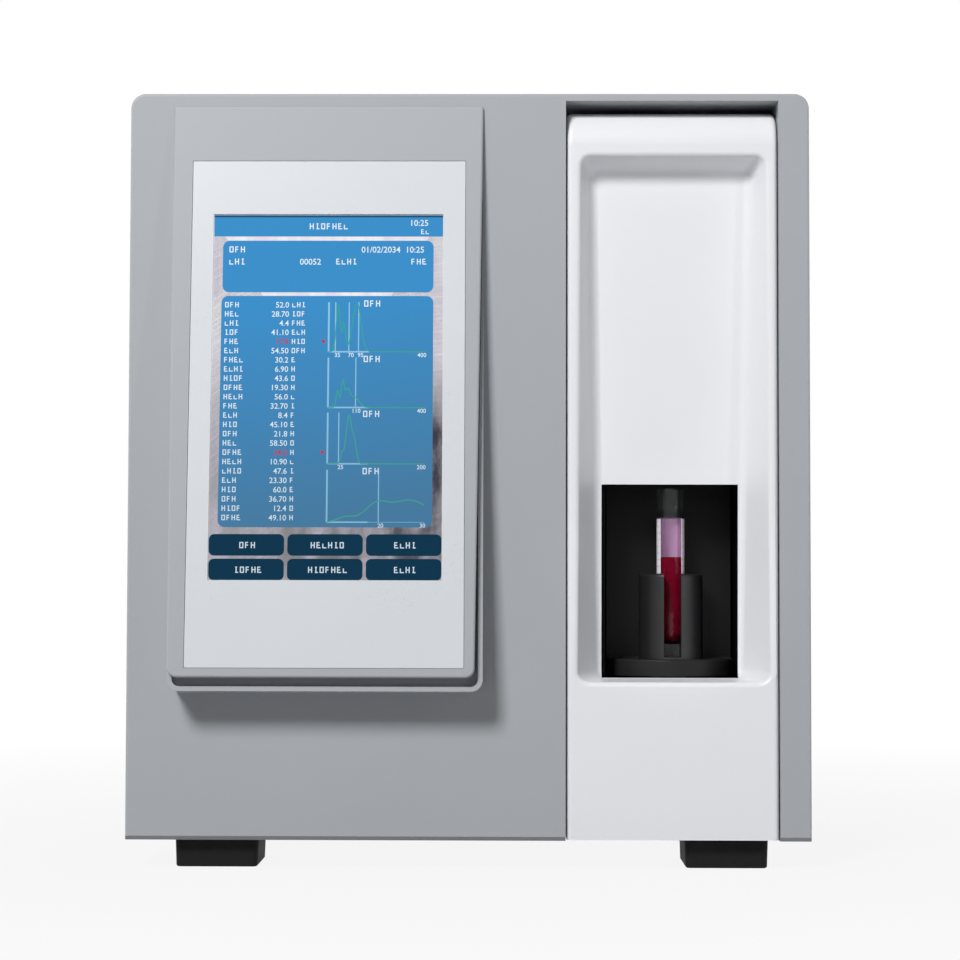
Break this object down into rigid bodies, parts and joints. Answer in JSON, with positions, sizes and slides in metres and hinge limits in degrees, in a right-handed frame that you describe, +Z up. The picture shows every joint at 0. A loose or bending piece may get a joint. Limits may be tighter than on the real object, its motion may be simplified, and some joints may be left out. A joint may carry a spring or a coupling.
{
  "type": "hematology analyzer",
  "caption": "Bench-top blood cell counter with a grey case, a leaning touch display and a white bay whose turntable carries a sample tube inside.",
  "frame": {"origin": "on the bench under the centre of the machine's overall box", "axes": "+Z up, the display faces -Y, +X to the right seen from the front"},
  "size_m": [0.32, 0.2599, 0.364],
  "materials": {
    "case_grey": "fine-textured painted moulding",
    "bay_white": "satin",
    "panel_white": "satin",
    "screen_glass": "polished",
    "screen_picture": "lit",
    "chamber_black": "matt",
    "adapter_black": "satin",
    "foot_rubber": "matt",
    "tube_glass": "clear",
    "blood": "wet",
    "label_paper": "matt paper",
    "sheet_metal": "zinc plated",
    "steel": "ground",
    "machined_aluminium": "anodised",
    "motor_casing": "satin",
    "belt_rubber": "toothed",
    "black_plastic": "moulded",
    "clear_plastic": "clear",
    "port_plastic": "moulded",
    "white_plastic": "moulded",
    "board_green": "lacquered",
    "socket_metal": "plated"
  },
  "bodies": {
    "case": {"base_tray": "sheet_metal", "bay_panel": "bay_white", "bulkhead": "sheet_metal", "carriage_motor": "motor_casing", "case_screws": "steel", "chamber_liner": "chamber_black", "counting_cups": "clear_plastic", "cross_rail": "steel", "cup_bracket": "sheet_metal", "data_sockets": "socket_metal", "display_housing": "case_grey", "display_panel": "panel_white", "display_plinth": "case_grey", "fan_frame": "black_plastic", "fan_guard": "steel", "feet": "foot_rubber", "fluidics_plate": "sheet_metal", "front_fascia": "case_grey", "hinge_pins": "steel", "lcd_module": "screen_picture", "main_board": "board_green", "main_cover": "case_grey", "optics_bench": "machined_aluminium", "power_inlet": "black_plastic", "power_supply": "sheet_metal", "pump_body": "chamber_black", "reagent_ports": "port_plastic", "rear_panel": "sheet_metal", "rotor_bearing": "steel", "rotor_belt": "belt_rubber", "rotor_motor": "motor_casing", "sampler_stand": "sheet_metal", "switch_housing": "black_plastic", "syringe_barrels": "tube_glass", "syringe_frame": "machined_aluminium", "syringe_motor": "motor_casing", "touch_glass": "screen_glass", "valve_bank": "black_plastic"},
    "turntable": {"sample_rotor": "chamber_black", "rotor_shaft": "steel", "rotor_pulley": "machined_aluminium", "tube_adapter": "adapter_black", "sample_tube": "tube_glass", "blood_sample": "blood", "tube_label": "label_paper"},
    "turntable_motor_pulley": {"motor_pulley": "machined_aluminium"},
    "carriage": {"needle_carriage": "machined_aluminium", "lift_motor": "motor_casing"},
    "needle_lift": {"needle_block": "machined_aluminium", "sample_needle": "steel"},
    "lift_screw": {"lift_screw": "steel"},
    "carriage_screw": {"carriage_screw": "steel"},
    "syringe_drive": {"syringe_crosshead": "machined_aluminium", "syringe_plungers": "white_plastic"},
    "syringe_screw": {"syringe_screw": "steel"},
    "pump_rotor": {"pump_rotor": "white_plastic"},
    "fan": {"fan_rotor": "black_plastic"},
    "door": {"side_door": "case_grey"},
    "latch": {"door_latch": "steel"},
    "rocker": {"switch_rocker": "black_plastic"}
  },
  "joints": [
    {"name": "turntable_turn", "type": "hinge", "parent": "case", "child": "turntable", "pos_m": [0.0972, -0.049, 0.09], "axis": [0, 0, 1], "range_deg": [-180, 0]},
    {"name": "turntable_motor_turn", "type": "hinge", "parent": "case", "child": "turntable_motor_pulley", "pos_m": [0.0972, 0.022, 0.036], "axis": [0, 0, 1], "range_deg": [-360, 0]},
    {"name": "carriage_travel", "type": "slide", "parent": "case", "child": "carriage", "axis": [0, 1, 0], "range_m": [0, 0.09]},
    {"name": "carriage_screw_turn", "type": "hinge", "parent": "case", "child": "carriage_screw", "pos_m": [0.0655, 0, 0.3], "axis": [0, 1, 0], "range_deg": [0, 4050]},
    {"name": "needle_travel", "type": "slide", "parent": "carriage", "child": "needle_lift", "axis": [0, 0, -1], "range_m": [0, 0.07]},
    {"name": "lift_screw_turn", "type": "hinge", "parent": "carriage", "child": "lift_screw", "pos_m": [0.0897, -0.026, 0.2], "axis": [0, 0, 1], "range_deg": [0, 3150]},
    {"name": "syringe_stroke", "type": "slide", "parent": "case", "child": "syringe_drive", "axis": [0, 0, -1], "range_m": [0, 0.04]},
    {"name": "syringe_screw_turn", "type": "hinge", "parent": "case", "child": "syringe_screw", "pos_m": [-0.084, -0.02, 0.1], "axis": [0, 0, 1], "range_deg": [0, 1800]},
    {"name": "pump_turn", "type": "hinge", "parent": "case", "child": "pump_rotor", "pos_m": [-0.07, 0.052, 0.12], "axis": [1, 0, 0], "continuous": true},
    {"name": "fan_spin", "type": "hinge", "parent": "case", "child": "fan", "pos_m": [-0.09, 0.1, 0.285], "axis": [0, 1, 0], "continuous": true},
    {"name": "door_swing", "type": "hinge", "parent": "case", "child": "door", "pos_m": [-0.1555, 0.083, 0.187], "axis": [0, 0, -1], "range_deg": [0, 100]},
    {"name": "latch_turn", "type": "hinge", "parent": "door", "child": "latch", "pos_m": [-0.155, -0.044, 0.187], "axis": [1, 0, 0], "range_deg": [0, 90]},
    {"name": "rocker_tilt", "type": "hinge", "parent": "case", "child": "rocker", "pos_m": [-0.072, 0.109, 0.062], "axis": [1, 0, 0], "range_deg": [0, 22]}
  ],
  "couplings": [
    {"joint": "turntable_motor_turn", "follows": "turntable_turn", "ratio": 2},
    {"joint": "carriage_screw_turn", "follows": "carriage_travel", "rad_per_m": 785.4},
    {"joint": "lift_screw_turn", "follows": "needle_travel", "rad_per_m": 785.4},
    {"joint": "syringe_screw_turn", "follows": "syringe_stroke", "rad_per_m": 785.4}
  ]
}
